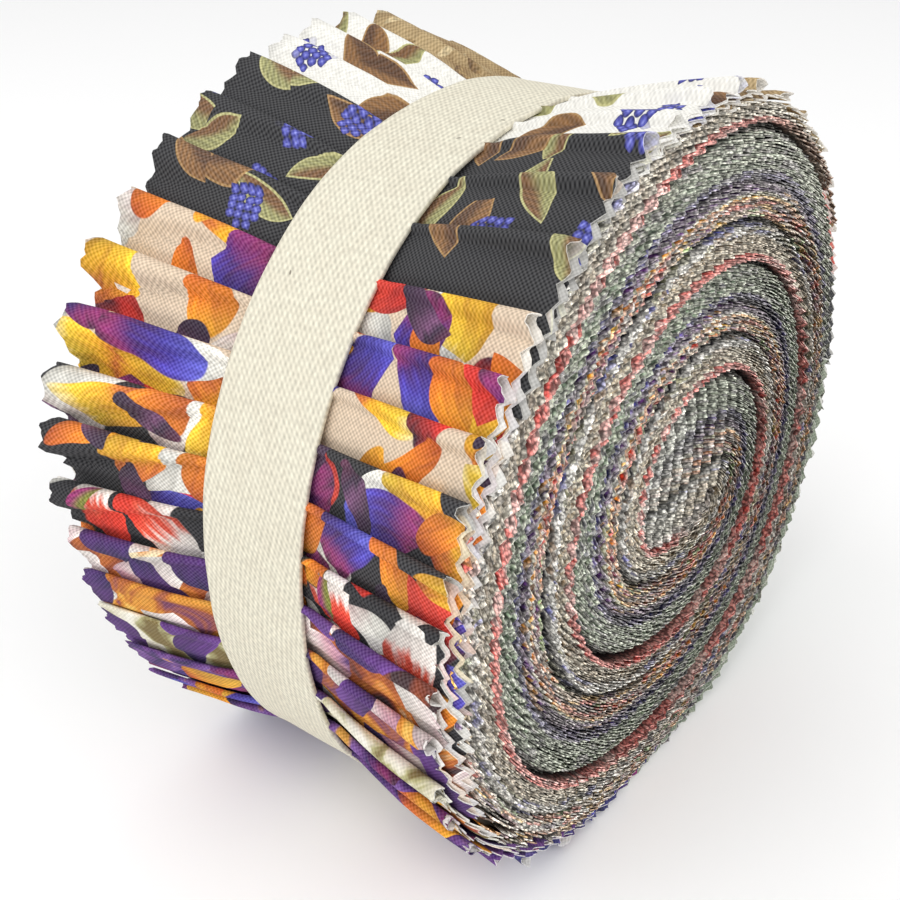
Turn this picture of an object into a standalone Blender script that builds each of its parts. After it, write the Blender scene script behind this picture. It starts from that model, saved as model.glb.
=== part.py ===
"""A roll of pinked fabric strips held by a woven tape band.

The roll stands on its curved side. Its axis lies along X, +Z is up, and the origin is on the floor
under its middle. Forty strips, each folded in half across its length, are laid in one stack and wound
together. The folded ends step round the curved side like shingles, each lapping the one before it, and
the stack shows as a spiral on both faces. The tape pulls the roll in at its waist.

Angles are measured round the axis in degrees, from +Y towards +Z.
"""

import math

import bmesh
import bpy

MM = 0.001

# Driving dimensions, in metres
STRIP_WIDTH = 63.5 * MM
TOOTH_DEPTH = 1.4 * MM
NEAR_RIM_RADIUS = 54.3 * MM
FAR_RIM_RADIUS = 54.9 * MM
WAIST_RADIUS = 50.6 * MM
AXIS_HEIGHT = 51.6 * MM
NEAR_FOLD_HEIGHT = 1.5 * MM
FAR_FOLD_HEIGHT = 2.3 * MM
WAIST_FOLD_HEIGHT = 0.4 * MM
TAPE_WIDTH = 17.0 * MM
TAPE_THICKNESS = 1.0 * MM
TAPE_CENTRE_X = -0.7 * MM
TAPE_GAP = 0.3 * MM

# The sagging outline, as shares of the radius
SAG = 0.024
SQUARENESS = 0.014

# How the side flares from the tape to the rims, and more steeply where the roll is pressed flat
FLARE_POWER = 0.7
PRESSED_FLARE_POWER = 0.2
PRESSED_ANGLE = 270.0
PRESSED_HALF_ANGLE = 28.0

# Where the folded ends lie: each row is one run of folds of even width round the curved side
FOLD_RUNS = (
    # first angle, folds, width of each, points along each
    (76.0, 4, 7.375, 6),
    (105.5, 3, 9.167, 6),
    (133.0, 2, 7.75, 6),
    (148.5, 7, 7.929, 6),
    (204.0, 24, 9.6667, 8),
)
FOLD_FOOT = 0.12  # degrees that a fold's steep front takes up
FOLD_FALL = 2.2  # how quickly a fold sinks towards the next one

# The curved side, as shares of the way from the tape's edge to the rim
SIDE_ROWS = (0.0, 0.42, 0.82)
TAPE_CLEARANCE_X = 0.6 * MM

# The face: each row is a ring, its inset from the curved side and its depth below the tooth tips
FACE_RINGS = (
    # inset, depth, columns for each point
    (2.4 * MM, 0.6 * MM, 1),
    (6.0 * MM, 0.5 * MM, 2),
    (14.0 * MM, 0.4 * MM, 4),
    (24.0 * MM, 0.9 * MM, 4),
    (34.0 * MM, 0.7 * MM, 8),
    (44.0 * MM, 1.2 * MM, 8),
)
CORE_DEPTH = 1.6 * MM
RIM_WAVE = TOOTH_DEPTH / 4  # how far the outermost ring still follows the teeth
FACE_LIFT = 0.7  # how steeply the face's rings rise from the flat spot

# The wound stack, seen on a face
STACK_PITCH = 16.3 * MM
CORE_Y = 5.5 * MM
CORE_Z = -1.6 * MM
CORE_OVAL = 0.07
CORE_TILT = 160.0
CORE_BLEND_POWER = 4  # how late the core's oval turns into the sagging outline
GROOVE_RADIUS = 1.5 * MM
GROOVE_OUTER = 46.4 * MM
GROOVE_INNER = 3.5 * MM
GROOVE_FIRST_ANGLE = 152.0
GROOVE_POINTS_PER_TURN = 36
GROOVE_WELD = 0.01 * MM

TAPE_COLUMNS = 96

# The cloths: mean colour of the printed strips, and natural cotton
STRIP_COLOUR = (0.24, 0.21, 0.22)
STRIP_ROUGHNESS = 0.85
TAPE_COLOUR = (0.78, 0.73, 0.62)
TAPE_ROUGHNESS = 0.9

NAME = "fabric_strip_roll"


def clear_scene():
    """Empties the file's scene."""
    for old in list(bpy.data.objects):
        bpy.data.objects.remove(old, do_unlink=True)


def collection(name):
    """A new collection in the scene."""
    made = bpy.data.collections.new(name)
    bpy.context.scene.collection.children.link(made)
    return made


def material(name, colour, roughness):
    """A plain cloth material."""
    made = bpy.data.materials.new(name)
    made.use_nodes = True
    shader = made.node_tree.nodes["Principled BSDF"]
    shader.inputs["Base Color"].default_value = (*colour, 1.0)
    shader.inputs["Roughness"].default_value = roughness
    shader.inputs["Metallic"].default_value = 0.0
    return made


def outline(angle):
    """The sagging outline at an angle, as a share of the radius."""
    a = math.radians(angle)
    return 1.0 - SAG * math.sin(3 * a) - SQUARENESS * math.cos(4 * a)


def fold_columns():
    """Angle and fold height share of every point round the curved side."""
    columns = []
    for first, folds, width, points in FOLD_RUNS:
        for fold in range(folds):
            start = first + fold * width
            columns.append((start - FOLD_FOOT, 0.0))
            for point in range(points - 1):
                share = point / (points - 1)
                columns.append((start + FOLD_FOOT + share * width, (1.0 - share) ** FOLD_FALL))
    return columns


def way_to_rim(x):
    """Which rim x is nearer, and the share of the way to it from the tape's edge."""
    near = x > TAPE_CENTRE_X
    rim = STRIP_WIDTH / 2 if near else -STRIP_WIDTH / 2
    half_tape = TAPE_WIDTH / 2 + TAPE_CLEARANCE_X
    passed = abs(x - TAPE_CENTRE_X) - half_tape
    whole = abs(rim - TAPE_CENTRE_X) - half_tape
    return near, min(max(passed / whole, 0.0), 1.0)


def side_radius(x, angle, fold):
    """Radius of the curved side at x and an angle, where fold is the share of the fold's height."""
    near, way = way_to_rim(x)
    rim_radius = NEAR_RIM_RADIUS if near else FAR_RIM_RADIUS
    rim_fold = NEAR_FOLD_HEIGHT if near else FAR_FOLD_HEIGHT
    pressed = max(1.0 - ((angle - PRESSED_ANGLE) / PRESSED_HALF_ANGLE) ** 2, 0.0)
    flare = way ** (FLARE_POWER + (PRESSED_FLARE_POWER - FLARE_POWER) * pressed)
    radius = (WAIST_RADIUS + (rim_radius - WAIST_RADIUS) * flare) * outline(angle)
    return radius + fold * (WAIST_FOLD_HEIGHT + (rim_fold - WAIST_FOLD_HEIGHT) * way)


def placed(x, y, z, lowest=0.0):
    """A point given from the axis, set above the floor, on the flat spot where it would sink in."""
    return (x, y, max(z + AXIS_HEIGHT, lowest))


def side_ring(x_tip, x_valley, columns):
    """Points round the curved side, whose x swings between a tooth's tip and its valley."""
    points = []
    for index, (angle, fold) in enumerate(columns):
        x = x_valley if index % 2 else x_tip
        radius = side_radius(x_tip, angle, fold)
        a = math.radians(angle)
        points.append(placed(x, radius * math.cos(a), radius * math.sin(a)))
    return points


def face_point(radius, angle, side):
    """Where a turn of the stack with this radius lies on a face, as y and z from the axis."""
    rim_radius = NEAR_RIM_RADIUS if side > 0 else FAR_RIM_RADIUS
    share = radius / rim_radius
    a = math.radians(angle)
    turned = a - math.radians(CORE_TILT)
    long_axis = math.cos(turned) / (1.0 + CORE_OVAL)
    short_axis = math.sin(turned) * (1.0 + CORE_OVAL)
    oval = 1.0 / math.hypot(long_axis, short_axis)
    shape = oval + (outline(angle) - oval) * share**CORE_BLEND_POWER
    y = CORE_Y * (1.0 - share) + radius * shape * math.cos(a)
    z = CORE_Z * (1.0 - share) + radius * shape * math.sin(a)
    return y, z


def face_ring(side, inset, depth, step, columns):
    """A ring of points on a face, with one point for every step columns."""
    rim_radius = NEAR_RIM_RADIUS if side > 0 else FAR_RIM_RADIUS
    points = []
    for index in range(0, len(columns), step):
        angle, fold = columns[index]
        x = STRIP_WIDTH / 2 - depth
        if step == 1:
            x += RIM_WAVE if index % 2 else -RIM_WAVE
        rim_fold = fold if step == 1 else 0.0
        y, z = face_point(rim_radius - inset + rim_fold * NEAR_FOLD_HEIGHT, angle, side)
        points.append(placed(side * x, y, z, lowest=FACE_LIFT * inset))
    return points


def add_ring(bm, points):
    """Adds a ring's points to the mesh."""
    return [bm.verts.new(point) for point in points]


def join_rings(bm, outer, inner):
    """Faces between two rings, the second with as many points or half as many."""
    count = len(inner)
    step = len(outer) // count
    for i in range(count):
        here, after = inner[i], inner[(i + 1) % count]
        if step == 1:
            bm.faces.new((outer[i], outer[(i + 1) % count], after, here))
            continue
        a, b, c = outer[2 * i], outer[2 * i + 1], outer[(2 * i + 2) % len(outer)]
        bm.faces.new((a, b, here))
        bm.faces.new((b, after, here))
        bm.faces.new((b, c, after))


def x_rows():
    """x of each ring on the curved side between the two rims, from the near rim to the far one."""
    half_tape = TAPE_WIDTH / 2 + TAPE_CLEARANCE_X
    rows = []
    for side in (1, -1):
        edge = TAPE_CENTRE_X + side * half_tape
        rim = side * STRIP_WIDTH / 2
        row = [edge + share * (rim - edge) for share in SIDE_ROWS]
        rows += row[::-1] if side > 0 else row
    return rows


def make_roll(home, cutters):
    """The wound strips as one solid."""
    columns = fold_columns()
    bm = bmesh.new()
    rim = STRIP_WIDTH / 2
    valley = rim - TOOTH_DEPTH
    near_rim = add_ring(bm, side_ring(rim, valley, columns))
    far_rim = add_ring(bm, side_ring(-rim, -valley, columns))
    previous = near_rim
    for x in x_rows():
        ring = add_ring(bm, side_ring(x, x, columns))
        join_rings(bm, previous, ring)
        previous = ring
    join_rings(bm, previous, far_rim)
    for side, edge in ((1, near_rim), (-1, far_rim)):
        previous = edge
        for inset, depth, step in FACE_RINGS:
            ring = add_ring(bm, face_ring(side, inset, depth, step, columns))
            join_rings(bm, previous, ring)
            previous = ring
        middle = bm.verts.new(placed(side * (rim - CORE_DEPTH), CORE_Y, CORE_Z))
        for i, vert in enumerate(previous):
            bm.faces.new((vert, previous[(i + 1) % len(previous)], middle))
    bmesh.ops.recalc_face_normals(bm, faces=bm.faces)
    mesh = bpy.data.meshes.new("roll")
    bm.to_mesh(mesh)
    bm.free()
    roll = bpy.data.objects.new("roll", mesh)
    home.objects.link(roll)
    roll.data.materials.append(material("printed_cotton", STRIP_COLOUR, STRIP_ROUGHNESS))
    for side in (1, -1):
        cut = roll.modifiers.new("spiral_groove", "BOOLEAN")
        cut.operation = "DIFFERENCE"
        cut.solver = "EXACT"
        cut.object = make_groove(cutters, side)
    return roll


def make_groove(cutters, side):
    """A tube along the stack's spiral on one face, which cuts the groove between its turns."""
    turns = (GROOVE_OUTER - GROOVE_INNER) / STACK_PITCH
    count = round(turns * GROOVE_POINTS_PER_TURN)
    name = "groove_near" if side > 0 else "groove_far"
    curve = bpy.data.curves.new(name, "CURVE")
    curve.dimensions = "3D"
    curve.bevel_depth = GROOVE_RADIUS
    curve.bevel_resolution = 2
    curve.use_fill_caps = True
    spline = curve.splines.new("POLY")
    spline.points.add(count)
    for index, point in enumerate(spline.points):
        turned = index / GROOVE_POINTS_PER_TURN
        radius = GROOVE_OUTER - turned * STACK_PITCH
        y, z = face_point(radius, GROOVE_FIRST_ANGLE + 360.0 * turned, side)
        point.co = (*placed(side * STRIP_WIDTH / 2, y, z), 1.0)
    tube = bpy.data.objects.new(name, curve)
    cutters.objects.link(tube)
    bpy.context.view_layer.update()
    mesh = bpy.data.meshes.new_from_object(tube.evaluated_get(bpy.context.evaluated_depsgraph_get()))
    bpy.data.objects.remove(tube, do_unlink=True)
    bm = bmesh.new()
    bm.from_mesh(mesh)
    bmesh.ops.remove_doubles(bm, verts=bm.verts, dist=GROOVE_WELD)
    bmesh.ops.recalc_face_normals(bm, faces=bm.faces)
    bm.to_mesh(mesh)
    bm.free()
    groove = bpy.data.objects.new(name, mesh)
    groove.hide_render = True
    groove.display_type = "WIRE"
    cutters.objects.link(groove)
    return groove


def make_band(home):
    """The tape: an open hoop round the waist, given its thickness outwards."""
    bm = bmesh.new()
    inner = WAIST_RADIUS + WAIST_FOLD_HEIGHT + TAPE_GAP
    rings = []
    for side in (1, 0, -1):
        x = TAPE_CENTRE_X + side * TAPE_WIDTH / 2
        ring = []
        for column in range(TAPE_COLUMNS):
            angle = 360.0 * column / TAPE_COLUMNS
            radius = inner * outline(angle)
            a = math.radians(angle)
            ring.append(placed(x, radius * math.cos(a), radius * math.sin(a)))
        rings.append(add_ring(bm, ring))
    for first, second in zip(rings, rings[1:]):
        join_rings(bm, first, second)
    bmesh.ops.recalc_face_normals(bm, faces=bm.faces)
    mesh = bpy.data.meshes.new("band")
    bm.to_mesh(mesh)
    bm.free()
    mesh.shade_smooth()
    band = bpy.data.objects.new("band", mesh)
    home.objects.link(band)
    band.data.materials.append(material("cotton_tape", TAPE_COLOUR, TAPE_ROUGHNESS))
    thick = band.modifiers.new("thickness", "SOLIDIFY")
    thick.thickness = TAPE_THICKNESS
    thick.offset = 1.0
    thick.use_even_offset = True
    return band


def main():
    """Builds the roll and its band."""
    clear_scene()
    home = collection(NAME)
    cutters = collection("cutters")
    make_roll(home, cutters)
    make_band(home)


main()
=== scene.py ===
"""The looks of a roll of pinked fabric strips held by a woven tape band.

Forty cotton strips, each folded in half across its length, lie in one stack that is wound up. Each strip's
folded end shows on the curved side, where it laps the one before it like a shingle. On both faces the
pinked edges of all eighty leaves show as one spiral. The tape pulls the roll in at its waist.

Sizes are in millimetres until a mesh is made. Angles go round the axis in degrees, from +Y towards +Z.
An angle past 360 is further in along the spiral. The near face is the one towards the camera.
"""

import math

import bpy
import numpy as np
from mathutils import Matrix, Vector


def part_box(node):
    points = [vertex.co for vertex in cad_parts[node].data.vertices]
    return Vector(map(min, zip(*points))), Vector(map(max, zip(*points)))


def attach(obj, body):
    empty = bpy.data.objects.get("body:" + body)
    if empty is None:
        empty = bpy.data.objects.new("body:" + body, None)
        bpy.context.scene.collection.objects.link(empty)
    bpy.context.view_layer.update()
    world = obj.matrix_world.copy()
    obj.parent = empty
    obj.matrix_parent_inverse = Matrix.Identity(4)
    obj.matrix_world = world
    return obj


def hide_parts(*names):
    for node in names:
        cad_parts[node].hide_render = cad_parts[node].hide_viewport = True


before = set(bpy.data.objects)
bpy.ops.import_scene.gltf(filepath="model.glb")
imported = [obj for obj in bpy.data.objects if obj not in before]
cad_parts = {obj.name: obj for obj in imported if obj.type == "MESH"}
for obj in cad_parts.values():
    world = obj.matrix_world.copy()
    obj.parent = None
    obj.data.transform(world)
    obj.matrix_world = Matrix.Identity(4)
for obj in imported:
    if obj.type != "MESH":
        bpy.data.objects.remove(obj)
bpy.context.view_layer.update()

MM = 0.001
METRES_TO_MM = 1000.0
RANDOM_SEED = 20

# The frame's rims and tape. The real tape lies a little further back and is a little narrower
RIM_X = float(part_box("roll")[1][0]) * METRES_TO_MM
BAND_LEFT, BAND_RIGHT = (float(corner[0]) * METRES_TO_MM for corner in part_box("band"))
TAPE_FURTHER_BACK = 0.9
TAPE_NARROWER = 0.4
TAPE_MIDDLE = (BAND_LEFT + BAND_RIGHT) / 2 - TAPE_FURTHER_BACK
TAPE_WIDTH = BAND_RIGHT - BAND_LEFT - TAPE_NARROWER

# The roll, as the part's source has it
NEAR_RIM_RADIUS = 54.3
FAR_RIM_RADIUS = 54.9
WAIST_RADIUS = 50.6
AXIS_HEIGHT = 51.6
SAG = 0.024
SQUARENESS = 0.014
FLARE_POWER = 0.7
PRESSED_FLARE_POWER = 0.2
PRESSED_ANGLE = 270.0
PRESSED_HALF_ANGLE = 28.0
TAPE_CLEARANCE_X = 0.6
TOOTH_DEPTH = 1.5
STACK_PITCH = 16.3
CORE_Y = 5.5
CORE_Z = -1.6
CORE_OVAL = 0.07
CORE_TILT = 160.0
CORE_BLEND_POWER = 4

# Where the wound strips bulge or are drawn in: angle, height, half width in degrees
WAIST_BULGES = ((98.0, -1.9, 30.0), (168.0, 1.1, 22.0))
FAR_BULGES = ((164.0, 2.6, 24.0),)
NEAR_NOSE_BULGES = ((45.0, -1.2, 40.0), (320.0, -1.0, 60.0))
FAR_NOSE_BULGES = (
    (156.0, 3.0, 24.0),
    (186.0, -0.9, 18.0),
    (206.0, -1.4, 18.0),
    (40.0, 0.8, 40.0),
    (290.0, 0.8, 40.0),
)

# How much wider the near rim is on the side away from the camera
RIGHT_GROWTH = 0.025
RIGHT_MIDDLE = -8.0

# The cloth
LEAF_THICKNESS = 0.15
LEAF_PITCH = 0.2
THREAD_PITCH = 0.34

# How cloth is pressed on the floor
FLOOR_FADE = 2.0
FLOOR_GAP = 0.12

# Folded ends, outwards from the first strip of the stack
DESIGN_ORDER = (
    # design, strips
    ("coral_tonal", 2),
    ("tan_sprig", 6),
    ("white_berry", 3),
    ("black_berry", 3),
    ("beige_fruit", 3),
    ("black_fruit", 2),
    ("black_petal", 1),
    ("rust_wash", 1),
    ("gold_wash", 1),
    ("cream_wash", 1),
    ("purple_wash", 3),
    ("navy_wash", 3),
    ("sage_sprig", 9),
    ("charcoal_sprig", 2),
)
CORAL_STRIPS = 2  # the first strips, whose edges show as a line along the whole spiral
LINE_DESIGNS = ("coral_tonal", "white_berry")  # their teeth keep in step
PALE_CLOTHS = ("white_berry", "cream_wash")
DARK_CLOTHS = ("black_berry", "black_fruit", "charcoal_sprig")

# Where the folded ends lie: runs of ends of even width, outwards from the first strip
NOSE_RUNS = (
    # first angle, folded ends, width of each in degrees
    (8.333, 7, 9.6667),
    (76.0, 4, 7.375),
    (105.5, 3, 9.167),
    (133.0, 2, 7.75),
    (148.5, 7, 7.929),
    (204.0, 17, 9.6667),
)
FIRST_NOSE = NOSE_RUNS[0][0]

# The inner side of the stack in the core, where the first turn is pressed flat, on a face
CORE_PATH = (
    # angle, y, z
    (935.0, -5.4, -7.3),
    (960.0, -0.5, -8.9),
    (1000.0, 6.0, -9.0),
    (1040.0, 10.2, -7.7),
    (1075.0, 12.3, -5.9),
    (1100.0, 12.7, -4.9),
    (1120.0, 11.6, -5.0),
    (1145.0, 8.8, -7.0),
    (1165.0, 5.0, -8.1),
    (1185.0, 0.0, -8.2),
    (1200.0, -4.5, -7.0),
    (1222.0, -9.3, -4.2),
    (1232.0, -11.6, -2.4),
)
CORE_SMOOTHING = 15  # degrees over which the path's corners are rounded
CORE_MARGIN = 60.0  # degrees that the path is drawn on past both its ends
CORE_BLEND = 30.0  # degrees over which the spiral goes over to the path
STACK_END = 1219.0
END_PAST = 7.0  # degrees by which the leaves' inner ends reach past it, to the turn around them
PATH_STEP = 0.5  # degrees

# Depth of the face below the rim
FACE_PROFILE = (
    # radius, depth
    (0.0, 1.3),
    (10.0, 0.9),
    (20.0, 0.5),
    (30.0, 0.7),
    (40.0, 0.2),
    (48.0, 0.0),
    (54.3, 0.7),
)

# How far leaves stand back at the grooves between turns, or stand out where the depth is below nought
GROOVES = (
    # place in the stack, half width, depth
    (15.7, 0.6, 1.7),
    (0.0, 0.5, -1.1),
    (3.7, 0.4, -0.5),
    (4.9, 0.5, 1.3),
    (9.9, 0.4, 0.8),
)
CORE_GROOVE_SHARE = 0.2  # how much of the grooves is left in the core
GROOVE_RADIUS = 10.0
GROOVE_FADE = 14.0
NO_GROOVE = 99.0  # a place in the stack away from all grooves

# Low on the front the outermost leaves have worked loose and stand further back
LOW_FRONT = 205.0
LOW_FRONT_HALF_ANGLE = 50.0
LOW_FRONT_FLOOR_HALF_ANGLE = 30.0  # towards the floor
CHAMFER = 2.0
CHAMFER_REACH = 2.2
FLUFF_REACH = 2.7
FLUFF_FADE = 0.8
FLUFF_SPREAD = ((0.0, 0.9, 1.9, 7.8), (0.0, 0.9, 2.3, 0.0))  # depth under the rim, how much further in
FLUFF_SETBACK = 1.3
INNER_SPREAD = 0.8
INNER_AHEAD = 0.6  # how much further a loose strip's inner leaf stands out
INNER_AHEAD_REACH = 2.0  # from its fold, over which it comes to stand out
JOIN_LENGTH = 8.0  # over which a leaf leaves its folded end's line

# The strips' setback and slip along each other, and the unevenness of their edges
STRIP_SETBACK = 0.35
LEAF_SETBACK = 0.15
LOOSE_SETBACK = 0.35
PACKED_SETBACK_SHARE = 0.4
TOOTH_SLIP = 0.22
LEAF_SLIP = 0.08
LINE_SLIP = 0.15
SWAY, SWAY_LENGTH = 0.22, 13.0
SMALL_SWAY, SMALL_SWAY_LENGTH = 0.06, 5.0
DIP, DIP_LENGTH = 0.14, 31.0
SMALL_DIP, SMALL_DIP_LENGTH = 0.08, 6.0
LEAN = 0.012  # how much further in a leaf's foot lies than its teeth, as a share of the radius
TIP_SHIFT = 0.05

# The teeth on the faces
TOOTH_PITCH = 3.1
HALF_TOOTH = TOOTH_PITCH / 2
EDGE_HEIGHT = 3.2  # how much of each leaf is made below its teeth
NEAR_TUFTS = 6  # bunches of threads along each tooth
FAR_TUFTS = 4
TOOTH_SHARE = 0.7  # how much of the teeth's depth shows among packed leaves
LOW_TOOTH_LESS = 0.3  # below the axis, where the leaves lie flat on each other
FRAY = 0.13
FAR_FRAY_SHARE = 0.5
IN_STEP_ANGLE = 1110.0  # further in along the spiral all teeth are still in step
IN_STEP_FADE = 60.0
IN_STEP_SLIP = 0.1
JUMBLE = 1.3  # how far teeth are out of step between these angles
JUMBLE_FIRST, JUMBLE_RISE = 720.0, 90.0
JUMBLE_LAST, JUMBLE_FALL = 1110.0, 40.0
CREEP, LOOSENED_CREEP, CREEP_LENGTH = 0.1, 0.3, 24.0
LOOSENED_ANGLE = 190.0
WOUND_RADIUS, WOUND_FADE = 6.0, 14.0
SHAKE = 0.3  # how uneven the tufts are, as a share of one
IN_STEP_SHAKE = 0.4
LOOSE_RADIUS, LOOSE_FADE = 44.0, 6.0

# Where the coral strips stand back: at the rim, and where their line turns round the core
RIM_SETBACK, RIM_SETBACK_ANGLE, RIM_SETBACK_FADE = 0.7, 110.0, 30.0
PIVOT_SETBACK, PIVOT_ANGLE, PIVOT_HALF_ANGLE = 1.2, 1100.0, 50.0

# How much light a point loses between the teeth
SHADE_TOOTH = 0.85
SHADE_SETBACK = 0.6
SHADE_GROOVE = 0.8
SHADE_LOOSE_LESS = 0.55
SHADE_FLUFF_LESS = 0.35
SHADE_IN_STEP_MORE = 0.68
SHADE_LOW_LESS = 0.6
FOOT_LIGHT = 0.4  # at a loose leaf's foot
LEAF_WIDTH_PLACES = np.array([0.1, 0.12, 0.9])  # of a leaf's two tip points and its foot, for its threads

# How the edges' colour departs from the print's
COLOUR_WANDER = 0.35
LOOSE_PALE = 0.4
LOOSE_DARK_PALE = 0.7
REVERSE_SHARE = 0.4
LOOSE_REVERSE = 0.9
CUT_SHARE = 0.3
CORAL_PALE = 0.5  # how pale the coral strips' edges are beside the others'
DULLED_SHARE = 0.2
DARK_PRINT = 0.12
FLUFF_BRIGHT = 0.45
TONE_WANDER, TONE_LENGTH, TONE_CHANCE = 0.2, 9.0, 0.15
RIM_TAN_SHARE, RIM_TAN_ANGLE, RIM_TAN_FADE = 0.8, 78.0, 16.0
CORAL_WHITE_SHARE, CORAL_WHITE_ANGLE = 0.85, 965.0
CORE_WHITE_SHARE, CORE_WHITE_ANGLE = 0.75, 1160.0
CORE_WHITE_FADE = 30.0

# The folded ends
SHEET_REACH = 20.0
SHEET_OVERLAP = 0.4  # how far the ribbons reach under the sheets' ends
FINE_REACH = 3.9  # round the fold, where the rows lie twice as close
FIRST_ROW_SHARE = 0.4  # of a row's step: no row lies nearer to the fold than this
WAIST_NOSE = 0.95
NEAR_NOSE = 2.1
FAR_NOSE = 1.8
NOSE_RISE_POWER = 0.9
NOSE_LIFT = (0.75, 1.25)
NOSE_WAVE, NOSE_WAVE_LENGTH = 0.2, 9.0
NOSE_LENGTH = 2.7
WAIST_LENGTH_SHARE = 0.45
NOSE_LENGTH_CHANCE = (0.85, 1.2)
FAR_SLOPE = 1.5  # how much longer the fold's slope is at the far rim than beside the tape
PUFF = 1.6
SWELL = 0.18
CREASE = 0.55
PRESS_DEPTH = 0.5  # how far the strip is pressed in under the next one's fold
PRESS_START = 1.2
END_DROP = 0.3
END_START = 17.5
END_FADE = 2.0
UNDER_SIDE = 0.3  # how far the leaves' flat part lies under the side
ROUGH = 0.2
SKEW = 0.6
SHIFT, SHIFT_LENGTH = 0.35, 12.0
SLIDE = 0.35
OUTER_CRUMPLE, INNER_CRUMPLE, WAIST_CRUMPLE = 0.13, 0.03, 0.25
CRUMPLE_SIZE = (7.0, 5.0)  # across the strip, and along it
SMALL_CRUMPLE_SIZE = (3.1, 2.7)
DROOP, DROOP_X, DROOP_REACH = 0.5, 29.0, 2.5
FAR_TOOTH_SHARE = 0.55
NEAR_TOOTH_SHARE = 0.75
AWAY_ANGLE = 20.0  # where the teeth stand back among their neighbours'
AWAY_TOOTH_LESS = 0.4
BENEATH_TOOTH_LESS = 0.5
BENEATH_SETBACK = 0.5
CORAL_SETBACK = 0.9
RIM_MM_PER_DEGREE = 0.95
CLOTH_OFFSET = 400.0  # the most that a strip's print is moved along, so that no two are alike

# The part under the next strip at the near rim, low on the front: how it stands out and bends in
COVERED_FADE = 2.5
COVERED_MOST = 3.0
COVERED_AHEAD = 0.75
COVERED_BEND = 0.25
INNER_COVERED_BEND = 0.35
COVERED_X, COVERED_REACH = 25.0, 6.0
SIDE_COLUMNS = (-28.6, -26.0, -23.0, -20.0, -17.0, -14.0, -11.5, -9.4, -5.0, -0.7, 3.6, 7.9, 10.5, 13.5,
                16.5, 19.5, 22.5, 25.5, 28.6)

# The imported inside
BODY_INSET = 2.1
BODY_COLUMNS = 144
BODY_X = (-27.6, -22.0, -15.0, -9.3, 7.9, 14.0, 21.0, 27.6)
BODY_RINGS = (0.8, 0.6, 0.4, 0.2, 0.0)

# The tape
TAPE_INNER = 51.0
TAPE_THICKNESS = 0.65
TAPE_COLUMNS = 360
TAPE_DRIFT, TAPE_DRIFT_LENGTH = 0.12, 18.0
FAR_DRIFT_SHARE = 0.6
TAPE_BUMP, TAPE_BUMP_LENGTH = 0.1, 7.0
TAPE_RIPPLE, TAPE_RIPPLE_LENGTH = 0.06, 5.0
TAPE_PROFILE = (
    # place across the tape, height as a share of its thickness
    (-0.5, 0.15), (-0.5, 0.9), (-0.495, 1.05), (-0.47, 1.1), (-0.44, 0.98), (-0.3, 0.97), (-0.15, 1.0),
    (0.0, 1.0), (0.15, 1.0), (0.3, 0.97), (0.44, 0.98), (0.47, 1.1), (0.495, 1.05), (0.5, 0.9),
    (0.5, 0.15), (0.49, 0.0), (0.2, 0.0), (-0.2, 0.0), (-0.49, 0.0),
)

# The stage
CAMERA_AZIMUTH = 36.79
CAMERA_ELEVATION = 29.71
CAMERA_DISTANCE = 184.75
CAMERA_RIGHT = -7.46
CAMERA_UP = -3.31
CAMERA_LENS = 48.0
CAMERA_SENSOR = 36.0
CAMERA_CLIP_START = 0.01
LIGHTS = (
    # name, azimuth, elevation, distance and size in metres, watts
    ("key", -10.0, 50.0, 1.2, 0.9, 6.0),
    ("fill", 85.0, 35.0, 1.4, 1.0, 5.0),
)
DAYLIGHT = 0.8
FLOOR_HALF = 3.0


# Colours


def linear(code, alpha=1.0):
    """A colour written as sRGB hex, turned to linear."""
    parts = [int(code[i : i + 2], 16) / 255.0 for i in (0, 2, 4)]
    turned = [c / 12.92 if c <= 0.04045 else ((c + 0.055) / 1.055) ** 2.4 for c in parts]
    return (*turned, alpha)


CUT_COLOUR = np.array(linear("E4E0D6")[:3])
REVERSE_COLOUR = np.array(linear("DAD7D0")[:3])
CORE_WHITE = np.array(linear("E6E8E0")[:3])
RIM_TAN = np.array(linear("8E7D62")[:3])

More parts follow.
